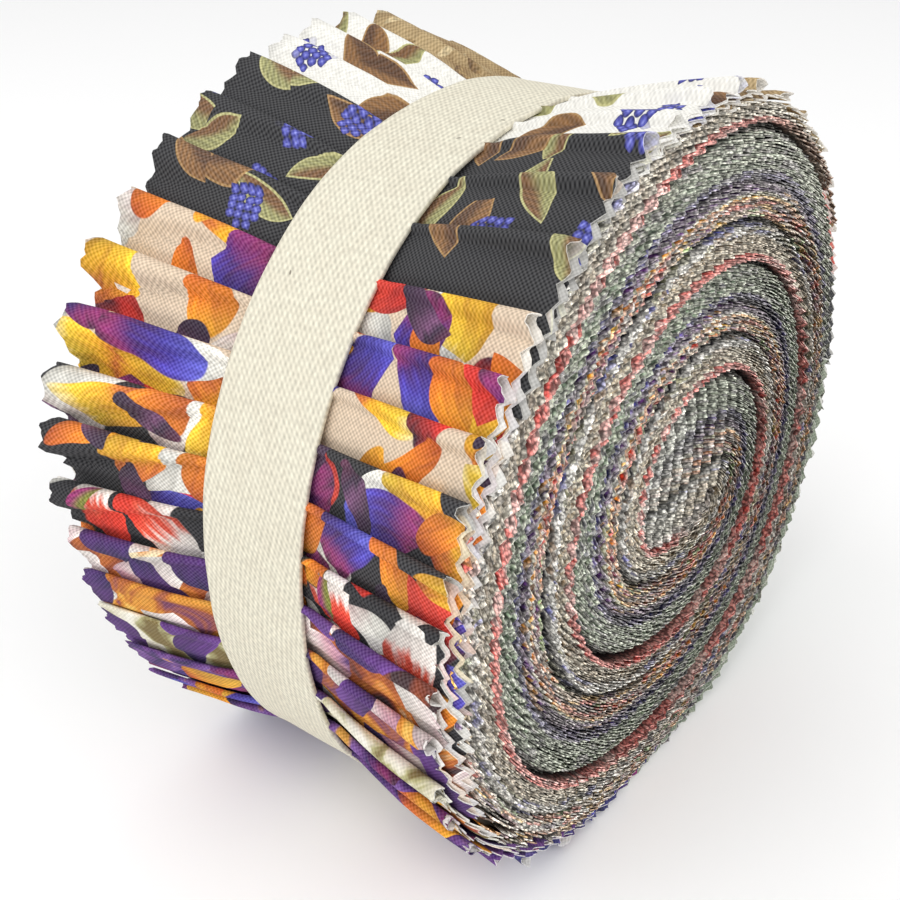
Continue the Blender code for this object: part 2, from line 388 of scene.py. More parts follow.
# The prints' colours where a strip is seen on its edge: how common each is, and how long its patches are
EDGE_COLOURS = {
    "coral_tonal": (("F28C84", "FAC6BE", "EA6A62"), (5, 2, 2), 4.0),
    "tan_sprig": (("B9A586", "8B7153", "DCD2BB"), (4, 2, 3), 3.0),
    "white_berry": (("F1EFE9", "5B5FC0", "8A6A48", "A3A070"), (6, 1, 1, 1), 4.0),
    "black_berry": (("1D1D22", "5B5FC0", "6E5238", "8B8A60"), (6, 1, 1, 1), 4.0),
    "beige_fruit": (("D8C4AE", "F2B91C", "EE8312", "DF3620", "6A3B84", "8FC06A"), (4, 1, 1, 1, 1, 1), 4.0),
    "black_fruit": (("1E1D22", "F2B91C", "EE8312", "DF3620", "5A2B74", "8C2C55"), (4, 1, 1, 1, 1, 1), 4.0),
    "black_petal": (("1E1D22", "F0EEE8", "E5351B", "8A1F1F"), (2, 3, 2, 1), 5.0),
    "rust_wash": (("A8481C", "6B2B17", "D8812C", "3D2328"), (3, 2, 2, 2), 4.0),
    "gold_wash": (("E0962A", "B9651C", "F0BE54", "7A3A5A"), (4, 2, 2, 1), 4.0),
    "cream_wash": (("E6E0CC", "8E8F55", "C8C6A0", "F4F1E6"), (4, 1, 2, 2), 4.0),
    "purple_wash": (("4A2766", "6C3B84", "2B1D4A", "C98A2B"), (4, 4, 3, 1), 3.5),
    "navy_wash": (("262A58", "4D4A8E", "6E5AA0"), (3, 3, 2), 3.5),
    "sage_sprig": (("8CA085", "6A7F68", "B2BEA4", "7C7A84"), (4, 3, 2, 2), 2.5),
    "charcoal_sprig": (("3A3B3E", "55565A", "1F1F22"), (4, 2, 2), 3.0),
}


def blended(colours, other, share):
    """Colours mixed with another by a share."""
    return colours * (1.0 - share) + other * share


# Curves


def rise(value, start, reach):
    """0 before start, then up to 1 over reach. With a reach below 0 it comes down to 0 at start."""
    return np.clip((value - start) / reach, 0.0, 1.0)


def hump(value, half_width):
    """1 at nought, and little past the half width."""
    return np.exp(-((value / half_width) ** 2))


def eased(share):
    """From 0 to 1 with a soft start and end."""
    return 0.5 - 0.5 * np.cos(math.pi * share)


def wander(positions, length, seed):
    """Smooth noise from -1 to 1 along a line, with bumps about length apart."""
    knots = np.random.RandomState(seed).uniform(-1.0, 1.0, 512)
    place = np.asarray(positions) / length + 64.0
    low = np.floor(place).astype(int)
    t = place - low
    t = t * t * (3.0 - 2.0 * t)
    return knots[low % 512] * (1.0 - t) + knots[(low + 1) % 512] * t


def ripple(u, v, seed):
    """Smooth noise from -1 to 1 over a sheet, with bumps about one unit apart."""
    grid = np.random.RandomState(seed).uniform(-1.0, 1.0, (64, 64))
    u, v = np.broadcast_arrays(np.asarray(u, float) + 640.0, np.asarray(v, float) + 640.0)
    i, j = np.floor(u).astype(int), np.floor(v).astype(int)
    a, b = u - i, v - j
    a, b = a * a * (3.0 - 2.0 * a), b * b * (3.0 - 2.0 * b)
    near = grid[i % 64, j % 64] * (1.0 - a) + grid[(i + 1) % 64, j % 64] * a
    far = grid[i % 64, (j + 1) % 64] * (1.0 - a) + grid[(i + 1) % 64, (j + 1) % 64] * a
    return near * (1.0 - b) + far * b


# The roll's form


def outline(angle):
    """The sagging outline at an angle, as a share of the radius."""
    a = np.radians(angle)
    return 1.0 - SAG * np.sin(3 * a) - SQUARENESS * np.cos(4 * a)


def bulge(angle, places):
    """How far the side stands out at an angle: places are each an angle, a height and a half width."""
    out = 0.0
    for middle, height, half_width in places:
        out = out + height * hump(np.mod(angle - middle + 180.0, 360.0) - 180.0, half_width)
    return out


def rim_share(x, clearance=0.0):
    """Share of the way to the nearer rim, from the tape's edge or this far past it."""
    rim_x = np.where(x > TAPE_MIDDLE, RIM_X, -RIM_X)
    half_tape = TAPE_WIDTH / 2 + clearance
    return rise(np.abs(x - TAPE_MIDDLE), half_tape, np.abs(rim_x - TAPE_MIDDLE) - half_tape)


def side_radius(x, angle):
    """Radius of the curved side at x and an angle."""
    rim_radius = np.where(x > TAPE_MIDDLE, NEAR_RIM_RADIUS, FAR_RIM_RADIUS + bulge(angle, FAR_BULGES))
    turned = np.mod(angle, 360.0) - PRESSED_ANGLE
    pressed = np.clip(1.0 - (turned / PRESSED_HALF_ANGLE) ** 2, 0.0, 1.0)
    power = FLARE_POWER + (PRESSED_FLARE_POWER - FLARE_POWER) * pressed
    waist = WAIST_RADIUS + bulge(angle, WAIST_BULGES)
    return (waist + (rim_radius - waist) * rim_share(x, TAPE_CLEARANCE_X) ** power) * outline(angle)


def face_point(radius, angle):
    """Where a turn of the stack with this radius lies on a face, as y and z from the axis."""
    share = radius / NEAR_RIM_RADIUS
    a = np.radians(angle)
    turned = a - math.radians(CORE_TILT)
    oval = 1.0 / np.hypot(np.cos(turned) / (1.0 + CORE_OVAL), np.sin(turned) * (1.0 + CORE_OVAL))
    shape = oval + (outline(angle) - oval) * np.clip(share, 0.0, 1.0) ** CORE_BLEND_POWER
    y = CORE_Y * (1.0 - share) + radius * shape * np.cos(a)
    z = CORE_Z * (1.0 - share) + radius * shape * np.sin(a)
    return y, z


def stack_radius(angle):
    """Radius of the stack's inner side at an angle along the spiral."""
    return NEAR_RIM_RADIUS - STACK_PITCH * (angle - FIRST_NOSE) / 360.0


def core_path():
    """The inner side of the stack in the core, at every degree, with its corners rounded."""
    angles = np.arange(CORE_PATH[0][0] - CORE_MARGIN, STACK_END + CORE_MARGIN)
    rows = np.array(CORE_PATH)
    before = angles < rows[0, 0]
    y_spiral, z_spiral = face_point(stack_radius(angles), angles)
    y = np.where(before, y_spiral, np.interp(angles, rows[:, 0], rows[:, 1]))
    z = np.where(before, z_spiral, np.interp(angles, rows[:, 0], rows[:, 2]))
    window = np.ones(CORE_SMOOTHING) / CORE_SMOOTHING
    half = CORE_SMOOTHING // 2
    y[half:-half] = np.convolve(y, window, "valid")
    z[half:-half] = np.convolve(z, window, "valid")
    return angles, y, z


CORE_ANGLES, CORE_LINE_Y, CORE_LINE_Z = core_path()


def stack_point(angle, depth):
    """Where a leaf lies on a face: depth is its height in the stack, from the stack's inner side."""
    y, z = face_point(stack_radius(angle) + depth, angle)
    in_core = rise(angle, CORE_ANGLES[0], CORE_BLEND)
    inner_y = np.interp(angle, CORE_ANGLES, CORE_LINE_Y)
    inner_z = np.interp(angle, CORE_ANGLES, CORE_LINE_Z)
    outer_y, outer_z = face_point(stack_radius(angle) + STACK_PITCH, angle)
    share = depth / STACK_PITCH
    core_y = inner_y + (outer_y - inner_y) * share
    core_z = inner_z + (outer_z - inner_z) * share
    return y + (core_y - y) * in_core, z + (core_z - z) * in_core


def above_floor(z):
    """Height over the floor: what would sink in is pressed flat, leaf on leaf."""
    raised = z + AXIS_HEIGHT
    pressed = FLOOR_FADE * np.exp(np.minimum((raised - FLOOR_FADE) / FLOOR_FADE, 0.0)) - FLOOR_GAP
    lowered = raised - FLOOR_GAP * rise(raised, FLOOR_FADE * 4, -FLOOR_FADE * 3)
    return np.where(raised < FLOOR_FADE, np.maximum(pressed, 0.0), lowered)


def low_front(angle):
    """1 low on the front, where the outermost leaves have worked loose, and 0 far from it."""
    turned = np.mod(angle, 360.0) - LOW_FRONT
    return hump(turned, np.where(turned > 0.0, LOW_FRONT_FLOOR_HALF_ANGLE, LOW_FRONT_HALF_ANGLE))


def right_side(angle):
    """1 on the side away from the camera and 0 on the other."""
    return np.clip(np.cos(np.radians(angle - RIGHT_MIDDLE)), 0.0, 1.0)


def groove_at(depth):
    """How deep the grooves are at a place in the stack."""
    return sum(deep * math.exp(-(((depth - place) / half_width) ** 2)) for place, half_width, deep in GROOVES)


def face_depth(radius, angle, depth, strip_radius):
    """How far below the rim a leaf's tooth tips lie."""
    rows = np.array(FACE_PROFILE)
    sunk = np.interp(radius, rows[:, 0], rows[:, 1]) * (1.0 - right_side(angle))
    sunk = sunk + CHAMFER * hump(NEAR_RIM_RADIUS - strip_radius, CHAMFER_REACH) * low_front(angle)
    groove_share = CORE_GROOVE_SHARE + (1.0 - CORE_GROOVE_SHARE) * rise(radius, GROOVE_RADIUS, GROOVE_FADE)
    return sunk + groove_share * groove_at(depth)


# The strips in the stack


def noses():
    """Angle of every strip's folded end, outwards from the first strip."""
    return [first + i * width for first, count, width in NOSE_RUNS for i in range(count)]


def slips():
    """How far each strip's teeth have slipped along their neighbours', and how far it stands back."""
    random = np.random.RandomState(RANDOM_SEED)
    along = np.cumsum(random.normal(0.0, TOOTH_SLIP, len(NOSES)))
    back = random.uniform(0.0, STRIP_SETBACK, len(NOSES))
    return along, back


NOSES = noses()
NEXT_NOSES = NOSES[1:] + [NOSES[0] + 360.0]
DESIGNS = [design for design, count in DESIGN_ORDER for _ in range(count)]
DEPTHS = [STACK_PITCH * (nose - FIRST_NOSE) / 360.0 for nose in NOSES]  # height of each strip's outer side
SLIP_ALONG, SET_BACK = slips()


def leaf_depth(strip, leaf):
    """Height in the stack of a strip's leaf: 0 is its outer leaf and 1 its inner one."""
    below = DEPTHS[strip - 1] - (STACK_PITCH if strip == 0 else 0.0)
    return DEPTHS[strip] - (DEPTHS[strip] - below) * (0.25 + 0.5 * leaf)


def leaf_line(strip, leaf):
    """A leaf's line on a face from its folded end inwards: angles, and lengths from the stack's end."""
    angles = np.arange(NOSES[strip], STACK_END + END_PAST, PATH_STEP)
    y, z = stack_point(angles, leaf_depth(strip, leaf))
    steps = np.hypot(np.diff(y), np.diff(z))
    lengths = np.concatenate(([0.0], np.cumsum(steps)))
    return angles, np.interp(STACK_END, angles, lengths) - lengths


def tooth_phase(strip, leaf):
    """Length from the strip's folded end to its first tooth tip."""
    lengths = leaf_line(strip, leaf)[1]
    return float((lengths[0] - SLIP_ALONG[strip]) % TOOTH_PITCH)


# The pinked edges


def print_on_edge(strip, lengths, seed):
    """The print's colour at lengths along a strip, as linear colours."""
    codes, shares, patch = EDGE_COLOURS[DESIGNS[strip]]
    table = np.array([linear(code)[:3] for code in codes])
    bounds = np.cumsum(shares) / np.sum(shares)
    place = lengths / patch + COLOUR_WANDER * wander(lengths, patch * 0.7, seed + 5)
    cell = np.floor(place).astype(int)
    draws = np.random.RandomState(seed).uniform(0.0, 1.0, 1024)
    return table[np.searchsorted(bounds, draws[cell % 1024])]


def ribbon_colours(strip, leaf, middle, angle, loose, fluffed, seed, random):
    """Colours of a leaf's outer wall and of its cut edge, between one place and the next."""
    angle, loose, fluffed = angle[:-1, None], loose[:-1, None], fluffed[:-1, None]
    printed = print_on_edge(strip, leaf_line(strip, leaf)[1][0] - middle, RANDOM_SEED + 31 * strip)
    coral = strip < CORAL_STRIPS
    if coral:
        printed = blended(printed, RIM_TAN, RIM_TAN_SHARE * rise(angle, RIM_TAN_ANGLE, -RIM_TAN_FADE))
        white = CORAL_WHITE_SHARE * rise(angle, CORAL_WHITE_ANGLE, CORE_WHITE_FADE)
    else:
        printed = blended(printed, np.mean(printed, axis=0), DULLED_SHARE * (1.0 - loose))
        white = CORE_WHITE_SHARE * rise(angle, CORE_WHITE_ANGLE, CORE_WHITE_FADE)
    printed = blended(printed, CORE_WHITE, white)
    dark = np.clip(1.0 - np.mean(printed, axis=1, keepdims=True) / DARK_PRINT, 0.0, 1.0)
    printed = blended(printed, REVERSE_COLOUR, LOOSE_DARK_PALE * dark * loose)
    pale = leaf * (REVERSE_SHARE + (LOOSE_REVERSE - REVERSE_SHARE) * fluffed)
    cut_pale = CUT_SHARE
    if coral:
        pale = pale * CORAL_PALE
        cut_pale = cut_pale * CORAL_PALE
    else:
        pale = pale + (1.0 - pale) * LOOSE_PALE * loose * (1.0 - fluffed)
    tone = 1.0 + TONE_WANDER * wander(middle, TONE_LENGTH, seed + 4)
    tone = tone + random.uniform(-TONE_CHANCE, TONE_CHANCE) + FLUFF_BRIGHT * fluffed[:, 0]
    wall = blended(printed, REVERSE_COLOUR, pale)
    cut = blended(printed, CUT_COLOUR, np.maximum(cut_pale, pale))
    return wall * tone[:, None], cut * tone[:, None]


def edge_places(strip, leaf, tufts, seed, random):
    """A leaf's points along its edge, a tuft apart.

    Gives their numbers, places and angles, how far they have slipped out of step with the other leaves', and
    the place where the leaf's sheet begins.
    """
    angles, lengths = (row[::-1] for row in leaf_line(strip, leaf))
    free = LINE_SLIP if DESIGNS[strip] in LINE_DESIGNS else 1.0
    longest = lengths[-1] - (SHEET_REACH - SHEET_OVERLAP)
    step = TOOTH_PITCH / tufts
    slip = SLIP_ALONG[strip] + free * random.normal(0.0, LEAF_SLIP)
    count = np.arange(math.ceil((lengths[0] - slip) / step), int((longest - slip) / step) + 1)
    angle = np.interp(count * step, lengths, angles)
    slipped = rise(angle, IN_STEP_ANGLE, -IN_STEP_FADE)
    jumble = rise(angle, JUMBLE_FIRST, JUMBLE_RISE) * rise(angle, JUMBLE_LAST, -JUMBLE_FALL)
    places = count * step + slip * (slipped + (1.0 - slipped) * IN_STEP_SLIP)
    places = places + jumble * random.uniform(-JUMBLE, JUMBLE)
    angle = np.interp(places, lengths, angles)
    loosened = 0.5 + 0.5 * np.cos(np.radians(angle - LOOSENED_ANGLE))
    crept = free * wander(places, CREEP_LENGTH, seed + 9) * (CREEP + LOOSENED_CREEP * loosened)
    crept = crept * rise(stack_radius(angle), WOUND_RADIUS, WOUND_FADE)
    shaken = random.uniform(-SHAKE, SHAKE, len(count)) * (IN_STEP_SHAKE + (1.0 - IN_STEP_SHAKE) * slipped)
    places = np.clip(places + shaken * step + crept, lengths[0], longest)
    return count, places, np.interp(places, lengths, angles), slipped, longest


def leaf_ribbon(strip, leaf, side):
    """The pinked edge of one leaf on one face: points, faces, colours, exposure and places on the cloth.

    Each place has three points: two at the tooth, a leaf's thickness apart, and one at the leaf's foot.
    """
    seed = RANDOM_SEED + 7 * strip + 3 * leaf + (1 if side > 0 else 500)
    random = np.random.RandomState(seed)
    tufts = NEAR_TUFTS if side > 0 else FAR_TUFTS
    count, places, angle, slipped, longest = edge_places(strip, leaf, tufts, seed, random)
    n = len(count)
    depth = leaf_depth(strip, leaf)
    radius = stack_radius(angle) + depth
    under = NEAR_RIM_RADIUS - radius
    rim_way = np.clip(radius / NEAR_RIM_RADIUS, 0.0, 1.0)
    front = low_front(angle)
    fluffed = front * rise(under, FLUFF_REACH, -FLUFF_FADE)
    loose = rise(radius, LOOSE_RADIUS, LOOSE_FADE)
    in_step = 1.0 - slipped
    below_core = np.clip(-np.sin(np.radians(angle)), 0.0, 1.0) * (1.0 - front)

    # Where the leaf runs on the face
    py, pz = stack_point(angle, depth)
    outer_y, outer_z = stack_point(angle, depth + LEAF_PITCH / 2)
    inner_y, inner_z = stack_point(angle, depth - LEAF_PITCH / 2)
    ny, nz = (outer_y - inner_y) / LEAF_PITCH, (outer_z - inner_z) / LEAF_PITCH
    sway = SWAY * ripple(places / SWAY_LENGTH, strip / 7.0, 3)
    sway = sway + SMALL_SWAY * wander(places, SMALL_SWAY_LENGTH, seed + 1)
    sway = sway - front * np.interp(under, *FLUFF_SPREAD) - INNER_SPREAD * leaf * fluffed
    py, pz = py + ny * sway, pz + nz * sway

    # How far its teeth stand back from the rim
    low = random.uniform(0.0, LEAF_SETBACK) + loose * random.uniform(0.0, LOOSE_SETBACK)
    low = (low + SET_BACK[strip]) * (PACKED_SETBACK_SHARE + (1.0 - PACKED_SETBACK_SHARE) * loose)
    joined = np.exp(-(longest - places) / JOIN_LENGTH)
    low = low + (1.0 - joined) * fluffed * (FLUFF_SETBACK if strip % 3 else -INNER_AHEAD * leaf)
    low = low - joined * (front * COVERED_MOST * COVERED_AHEAD + INNER_AHEAD * leaf)
    sunk = face_depth(radius, angle, depth, stack_radius(angle) + DEPTHS[strip]) + low
    sunk = sunk + DIP * wander(places, DIP_LENGTH, 7 * strip)
    sunk = sunk + SMALL_DIP * wander(places, SMALL_DIP_LENGTH, seed + 3)
    if strip < CORAL_STRIPS:
        sunk = sunk + PIVOT_SETBACK * hump(angle - PIVOT_ANGLE, PIVOT_HALF_ANGLE)
        sunk = sunk + RIM_SETBACK * rise(angle, RIM_SETBACK_ANGLE, -RIM_SETBACK_FADE)
    share = TOOTH_SHARE + (1.0 - TOOTH_SHARE) * np.maximum(fluffed, in_step)
    share = share - LOW_TOOTH_LESS * below_core * slipped
    tooth = TOOTH_DEPTH * share * (1.0 - np.abs(1.0 - 2.0 * (count % tufts) / tufts))
    frayed = random.uniform(-FRAY, FRAY, n) * (1.0 if side > 0 else FAR_FRAY_SHARE)
    top = RIM_X - sunk - tooth - frayed
    foot = RIM_X - sunk - TOOTH_DEPTH - EDGE_HEIGHT

    # Its points and faces
    if side < 0:
        grow = 1.0 + (FAR_RIM_RADIUS / NEAR_RIM_RADIUS - 1.0) * rim_way
    else:
        grow = 1.0 + RIGHT_GROWTH * right_side(angle) * rim_way**2
    tipped = random.uniform(-TIP_SHIFT, TIP_SHIFT, n)
    half = LEAF_THICKNESS / 2
    points = np.empty((n, 3, 3))
    columns = ((top, tipped + half, 1.0), (top, tipped - half, 1.0), (foot, 0.0, 1.0 - LEAN * rim_way**2))
    for column, (x, offset, shrink) in enumerate(columns):
        points[:, column, 0] = side * x
        points[:, column, 1] = (py + ny * offset) * shrink * grow
        points[:, column, 2] = above_floor((pz + nz * offset) * shrink * grow)
    base = np.arange(n - 1) * 3
    cut_faces = np.stack([base, base + 3, base + 4, base + 1], 1)
    wall_faces = np.stack([base, base + 2, base + 5, base + 3], 1)

    # Its colours, and how much light reaches its points
    middle = (places[:-1] + places[1:]) / 2
    wall, cut = ribbon_colours(strip, leaf, middle, angle, loose, fluffed, seed, random)
    shade = 1.0 - SHADE_LOOSE_LESS * loose - SHADE_FLUFF_LESS * fluffed
    shade = shade * (1.0 + SHADE_IN_STEP_MORE * in_step) * (1.0 - SHADE_LOW_LESS * below_core * slipped)
    shade = (SHADE_TOOTH * tooth + frayed + SHADE_SETBACK * low) * shade
    shade = shade + SHADE_GROOVE * max(groove_at(depth), 0.0)
    exposed = np.zeros((n, 3))
    exposed[:, :2] = (1.0 - shade / (TOOTH_DEPTH + EDGE_HEIGHT))[:, None]
    exposed[:, 2] = FOOT_LIGHT * np.maximum(below_core * slipped, fluffed)
    across = 2.0 * strip + (1 - leaf) + LEAF_WIDTH_PLACES
    uv = np.stack(np.broadcast_arrays(places[:, None], across[None, :]), -1)
    faces = np.concatenate([cut_faces, wall_faces])
    return points.reshape(-1, 3), faces, np.concatenate([cut, wall]), exposed.ravel(), uv.reshape(-1, 2)


# Meshes


def cloth_mesh(name, points, faces, colours=None, exposed=None, uv=None):
    """A smooth mesh from points in millimetres and faces of four corners, with a colour for each face.

    Exposed is each point's share of the light that reaches the rim, kept as the colour's alpha.
    """
    mesh = bpy.data.meshes.new(name)
    mesh.vertices.add(len(points))
    mesh.vertices.foreach_set("co", (np.asarray(points) * MM).astype(np.float32).ravel())
    mesh.loops.add(faces.size)
    mesh.loops.foreach_set("vertex_index", faces.astype(np.int32).ravel())
    mesh.polygons.add(len(faces))
    mesh.polygons.foreach_set("loop_start", np.arange(0, faces.size, faces.shape[1], dtype=np.int32))
    mesh.update(calc_edges=True)
    if colours is not None:
        layer = mesh.color_attributes.new(name="print", type="FLOAT_COLOR", domain="CORNER")
        corners = np.ones((faces.size, 4), np.float32)
        corners[:, :3] = np.repeat(colours, faces.shape[1], axis=0)
        corners[:, 3] = exposed[faces.ravel()]
        layer.data.foreach_set("color", corners.ravel())
    if uv is not None:
        layer = mesh.uv_layers.new(name="cloth")
        layer.data.foreach_set("uv", np.asarray(uv)[faces.ravel()].astype(np.float32).ravel())
    mesh.validate()
    mesh.shade_smooth()
    return mesh


def hoop_faces(pairs, columns):
    """Faces between pairs of hoops of points that go once round the roll."""
    here = np.arange(columns)
    after = (here + 1) % columns
    faces = []
    for first, second in pairs:
        low, high = first * columns, second * columns
        faces.append(np.stack([low + here, low + after, high + after, high + here], 1))
    return np.concatenate(faces)


def piece(name, mesh, slot, *cloths):
    """An object that belongs to the roll."""
    made = bpy.data.objects.new(name, mesh)
    bpy.context.scene.collection.objects.link(made)
    for cloth in cloths:
        made.data.materials.append(cloth)
    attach(made, "root")
    return made


def pinked_turns(name, strips, side):
    """The pinked edges of several strips' wound leaves on one face."""
    parts = []
    total = 0
    for strip in strips:
        for leaf in (0, 1):
            points, faces, *rest = leaf_ribbon(strip, leaf, side)
            faces = faces if side > 0 else faces[:, ::-1]
            parts.append((points, faces + total, *rest))
            total += len(points)
    mesh = cloth_mesh(name, *(np.concatenate(rows) for rows in zip(*parts)))
    return piece(name, mesh, "printed_cotton", EDGE_CLOTH)


# Folded ends


def fold_profile(w, height, length, next_nose):
    """Where a folded strip lies at arc length w from its nose: outer leaf at w > 0, inner leaf at w < 0.

    Gives the distance along the curved side and the height over the inner leaf's flat part.
    """
    bend = height / 2
    arc = math.pi * bend / 2
    run = np.abs(w)
    turn = np.clip(run / bend, 0.0, math.pi / 2)
    along = np.where(run < arc, bend * (1.0 - np.cos(turn)), bend + run - arc)
    fall = rise(along, bend, length - bend) ** PUFF
    upper = np.where(run < arc, bend * (1.0 + np.sin(turn)), height * (1.0 - eased(fall)))
    lower = np.where(run < arc, bend * (1.0 - np.sin(turn)), 0.0)
    swell = rise(along, length, np.maximum(next_nose - length, 1.0))
    upper = upper + SWELL * height * np.sin(math.pi * swell**CREASE) ** 2
    pressed = PRESS_DEPTH * eased(rise(along, next_nose - PRESS_START, 1.0))
    dropped = END_DROP * rise(run, END_START, END_FADE)
    return along, np.where(w >= 0.0, np.hypot(upper, LEAF_PITCH), lower) - pressed - dropped


def sheet_rows(first):
    """Arc lengths of one leaf's rows from the fold, which fall on every tooth's tip and valley."""
    fine = HALF_TOOTH / 4
    places = [0.0]
    for index, place in enumerate(np.arange(-8, 200) * fine + first):
        close = fine * FIRST_ROW_SHARE < place < FINE_REACH
        if close or (FINE_REACH <= place < SHEET_REACH and index % 2 == 0):
            places.append(place)
    places.append(SHEET_REACH)
    return np.array(places)


def sheet_edges(strip, rows, first_tips, random):
    """The near and far edge's x at every row of a folded end, and how far the row is under the next strip."""
    nose = NOSES[strip]
    place = np.mod(np.abs(rows) - first_tips, TOOTH_PITCH) / HALF_TOOTH
    tooth = TOOTH_DEPTH * eased(place)
    rough = random.uniform(-ROUGH, ROUGH, (2, len(rows)))
    far = -(RIM_X - SET_BACK[strip] - FAR_TOOTH_SHARE * tooth - rough[0])
    away = np.clip(math.cos(math.radians(nose - AWAY_ANGLE)), 0.0, 1.0)
    beneath = np.clip(-math.sin(math.radians(nose)), 0.0, 1.0) ** 2
    back = SET_BACK[strip] + face_depth(NEAR_RIM_RADIUS, nose + np.abs(rows), NO_GROOVE, NEAR_RIM_RADIUS)
    back = back + BENEATH_SETBACK * beneath + (CORAL_SETBACK if strip < CORAL_STRIPS else 0.0)
    degrees = np.abs(rows) / RIM_MM_PER_DEGREE
    covered = np.clip((degrees - (NEXT_NOSES[strip] - nose)) / COVERED_FADE, 0.0, COVERED_MOST)
    covered = covered * low_front(nose + degrees)
    ahead = INNER_AHEAD * np.clip(-rows / INNER_AHEAD_REACH, 0.0, 1.0) * (1.0 - away)
    ahead = ahead + covered * COVERED_AHEAD
    share = NEAR_TOOTH_SHARE * (1.0 - AWAY_TOOTH_LESS * away) * (1.0 - BENEATH_TOOTH_LESS * beneath)
    return RIM_X - back - share * tooth - rough[1] + ahead, far, covered


def sheet_points(strip, x, w, covered, random):
    """Where a folded end's cloth lies at x and arc lengths w from its fold."""
    nose = NOSES[strip]
    near = x > TAPE_MIDDLE
    way = rim_share(x)
    near_nose, far_nose = NEAR_NOSE + bulge(nose, NEAR_NOSE_BULGES), FAR_NOSE + bulge(nose, FAR_NOSE_BULGES)
    lift = random.uniform(*NOSE_LIFT) * (1.0 + NOSE_WAVE * ripple(x / NOSE_WAVE_LENGTH, strip * 1.7, 11))
    height = WAIST_NOSE + (np.where(near, near_nose, far_nose) * lift - WAIST_NOSE) * way**NOSE_RISE_POWER
    length = NOSE_LENGTH * (WAIST_LENGTH_SHARE + (1.0 - WAIST_LENGTH_SHARE) * way)
    length = length * random.uniform(*NOSE_LENGTH_CHANCE)
    length = length * np.where(near, 1.0, 1.0 + FAR_SLOPE * way)
    next_nose = math.radians(NEXT_NOSES[strip] - nose) * side_radius(x, nose)
    along, raised = fold_profile(w, height, length, next_nose)
    shift = random.uniform(-SKEW, SKEW) * x / RIM_X
    shift = shift + SHIFT * ripple(x / SHIFT_LENGTH, strip * 2.3, 12) * way
    crumple = ripple(x / CRUMPLE_SIZE[0] + strip * 5.1, w / CRUMPLE_SIZE[1], 13)
    crumple = crumple + 0.5 * ripple(x / SMALL_CRUMPLE_SIZE[0], w / SMALL_CRUMPLE_SIZE[1] + strip * 3.7, 14)
    raised = raised + np.where(w > 0.0, OUTER_CRUMPLE, INNER_CRUMPLE) * crumple * (WAIST_CRUMPLE + way)
    raised = raised - DROOP * rise(x, DROOP_X, DROOP_REACH) ** 2
    bend = np.where(w < 0.0, INNER_COVERED_BEND, COVERED_BEND) * rise(x, COVERED_X, COVERED_REACH) ** 2
    raised = raised - covered[:, None] * bend
    turned = np.degrees((along + shift) / (side_radius(x, nose + along) - UNDER_SIDE))
    angle = nose + turned
    radius = side_radius(x, angle) - UNDER_SIDE - STACK_PITCH * turned / 360.0 + raised
    radius = radius * (1.0 + RIGHT_GROWTH * right_side(angle) * np.where(near, way, 0.0))
    x = x + random.uniform(-SLIDE, SLIDE) * np.clip(way * 2.0, 0.0, 1.0)
    a = np.radians(angle)
    return np.stack([x, radius * np.cos(a), above_floor(radius * np.sin(a))], -1)


def folded_end(strip):
    """One strip's folded end: a single sheet that goes round its nose, with pinked edges."""
    random = np.random.RandomState(RANDOM_SEED + 91 * strip)
    outer_first, inner_first = tooth_phase(strip, 0), tooth_phase(strip, 1)
    rows = np.concatenate((-sheet_rows(inner_first)[:0:-1], sheet_rows(outer_first)))
    first_tips = np.where(rows < 0.0, inner_first, outer_first)
    near, far, covered = sheet_edges(strip, rows, first_tips, random)
    x = np.column_stack([far] + [np.full(len(rows), column) for column in SIDE_COLUMNS] + [near])
    w = np.repeat(rows[:, None], x.shape[1], axis=1)
    points = sheet_points(strip, x, w, covered, random)
    index = np.arange(x.size).reshape(x.shape)
    faces = np.stack([index[:-1, :-1], index[1:, :-1], index[1:, 1:], index[:-1, 1:]], -1).reshape(-1, 4)
    offset = random.uniform(0.0, CLOTH_OFFSET, 2)
    uv = np.stack([points[..., 0] + offset[0], w + offset[1]], -1).reshape(-1, 2)
    name = f"folded_end_{strip + 1:02d}"
    mesh = cloth_mesh(name, points.reshape(-1, 3), faces, uv=uv)
    made = piece(name, mesh, "printed_cotton", CLOTHS[DESIGNS[strip]], REVERSES[DESIGNS[strip]])
    thick = made.modifiers.new("thickness", "SOLIDIFY")
    thick.thickness = LEAF_THICKNESS * MM
    thick.offset = 0.0
    thick.material_offset = 1
    thick.material_offset_rim = 1
    return made


# The inside of the roll, which shows only in the gaps between leaves


def packed_inside():
    """A closed dark body under the folded ends and behind the pinked edges."""
    angles = np.arange(BODY_COLUMNS) * 360.0 / BODY_COLUMNS
    a = np.radians(angles)
    hoops = []
    for x in BODY_X:
        radius = side_radius(np.full(BODY_COLUMNS, x), angles) - BODY_INSET
        hoop = (np.full(BODY_COLUMNS, x), radius * np.cos(a), above_floor(radius * np.sin(a)))
        hoops.append(np.stack(hoop, 1))
    core = np.array([0.0, CORE_Y, AXIS_HEIGHT + CORE_Z])
    far_face, near_face = ([core + (hoop - core) * (1.0, share, share) for share in BODY_RINGS]
                           for hoop in (hoops[0], hoops[-1]))
    hoops = far_face[::-1] + hoops + near_face
    faces = hoop_faces([(r + 1, r) for r in range(len(hoops) - 1)], BODY_COLUMNS)
    mesh = cloth_mesh("packed_inside", np.concatenate(hoops), faces)
    made = piece("packed_inside", mesh, "printed_cotton", packed_cotton())
    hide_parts("roll")
    return made


# The tape


